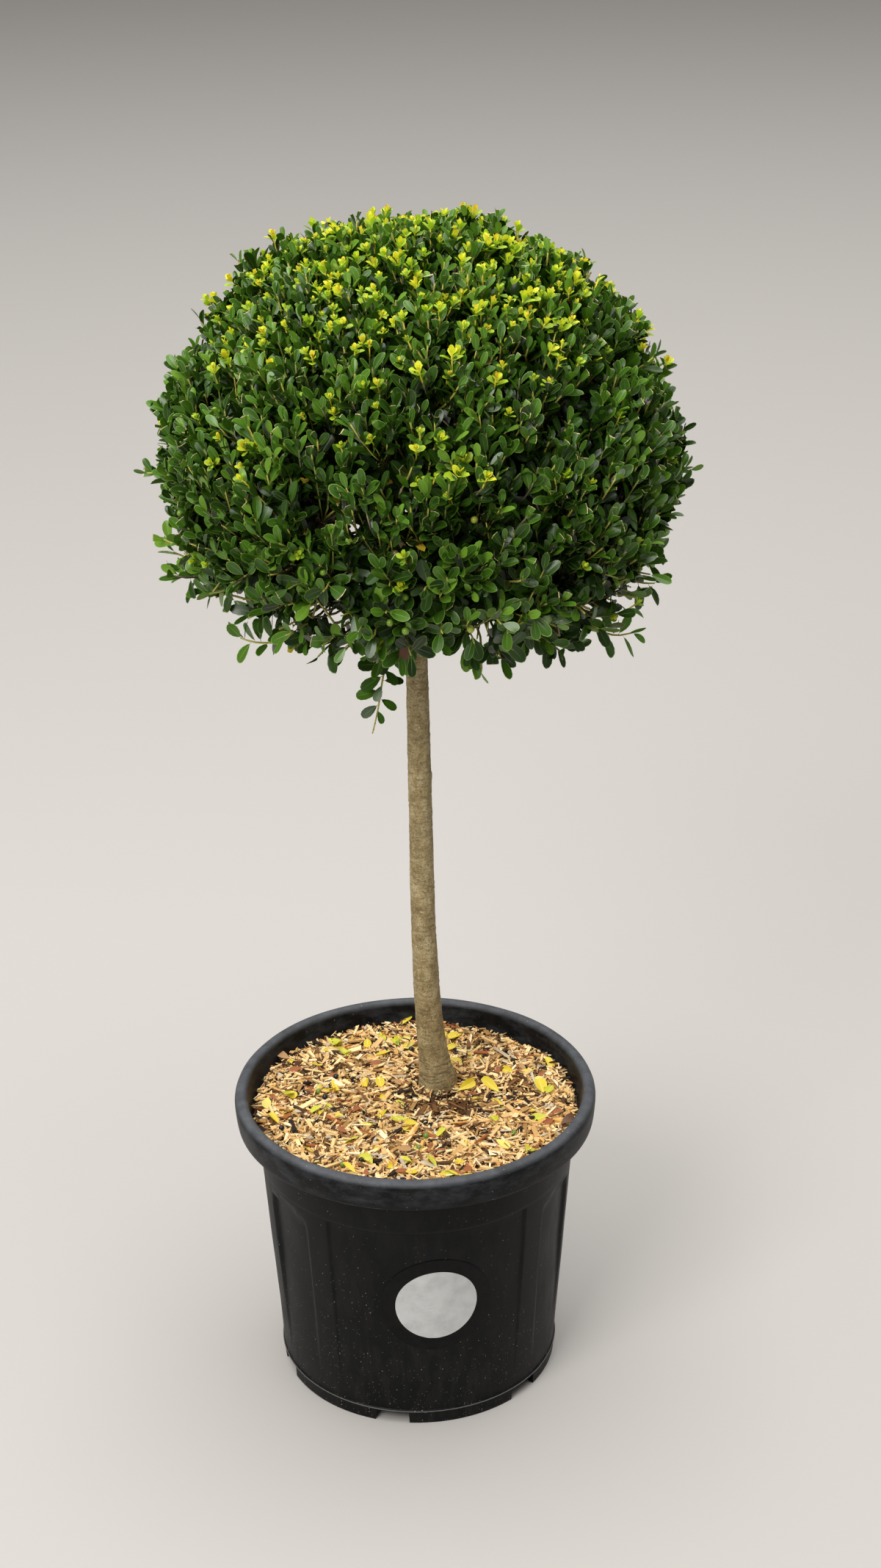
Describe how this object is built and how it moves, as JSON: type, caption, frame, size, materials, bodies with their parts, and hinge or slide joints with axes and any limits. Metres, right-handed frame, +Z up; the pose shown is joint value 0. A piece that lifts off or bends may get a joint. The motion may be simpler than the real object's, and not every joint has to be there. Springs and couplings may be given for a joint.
{
  "type": "standard topiary shrub in a nursery pot",
  "caption": "Small-leaved evergreen shrub clipped to a ball on a bare upright stem, growing in a round black nursery pot topped with wood chips.",
  "frame": {"origin": "centre of the pot's underside, on the central foot, at the level that the pot stands on", "axes": "+Z up along the pot's axis; -Y is the side seen in the picture, with the round label; +X is to the right of that side"},
  "size_m": [0.4519, 0.4307, 1.1191],
  "materials": {
    "pot_plastic": "black moulded plastic, semi-matt, worn grey on the lip and dusty",
    "compost": "moist dark growing medium",
    "wood_chips": "loose pale tan wood chips with darker bits and fallen leaves",
    "label": "blank pale grey disc with a black margin, lightly creased",
    "bark": "grey-olive young bark with small pores",
    "foliage": "glossy dark green small leaves, yellow-green at the shoot tips"
  },
  "bodies": {
    "root": {"pot": "pot_plastic", "trunk": "bark", "compost": "compost", "mulch": "wood_chips", "pot_label": "label", "crown_top": "foliage", "crown_upper_1": "foliage", "crown_upper_2": "foliage", "crown_upper_3": "foliage", "crown_upper_4": "foliage", "crown_upper_5": "foliage", "crown_side_1": "foliage", "crown_side_2": "foliage", "crown_side_3": "foliage", "crown_side_4": "foliage", "crown_side_5": "foliage", "crown_side_6": "foliage", "crown_side_7": "foliage", "crown_skirt_1": "foliage", "crown_skirt_2": "foliage", "crown_skirt_3": "foliage", "crown_skirt_4": "foliage", "crown_skirt_5": "foliage", "crown_skirt_6": "foliage", "bough_leader": "bark", "bough_1": "bark", "bough_2": "bark", "bough_3": "bark", "bough_4": "bark", "bough_5": "bark", "bough_6": "bark", "bough_7": "bark", "bough_8": "bark", "bough_9": "bark", "bough_10": "bark", "bough_11": "bark", "bough_12": "bark", "hanging_shoot": "foliage"}
  },
  "joints": []
}
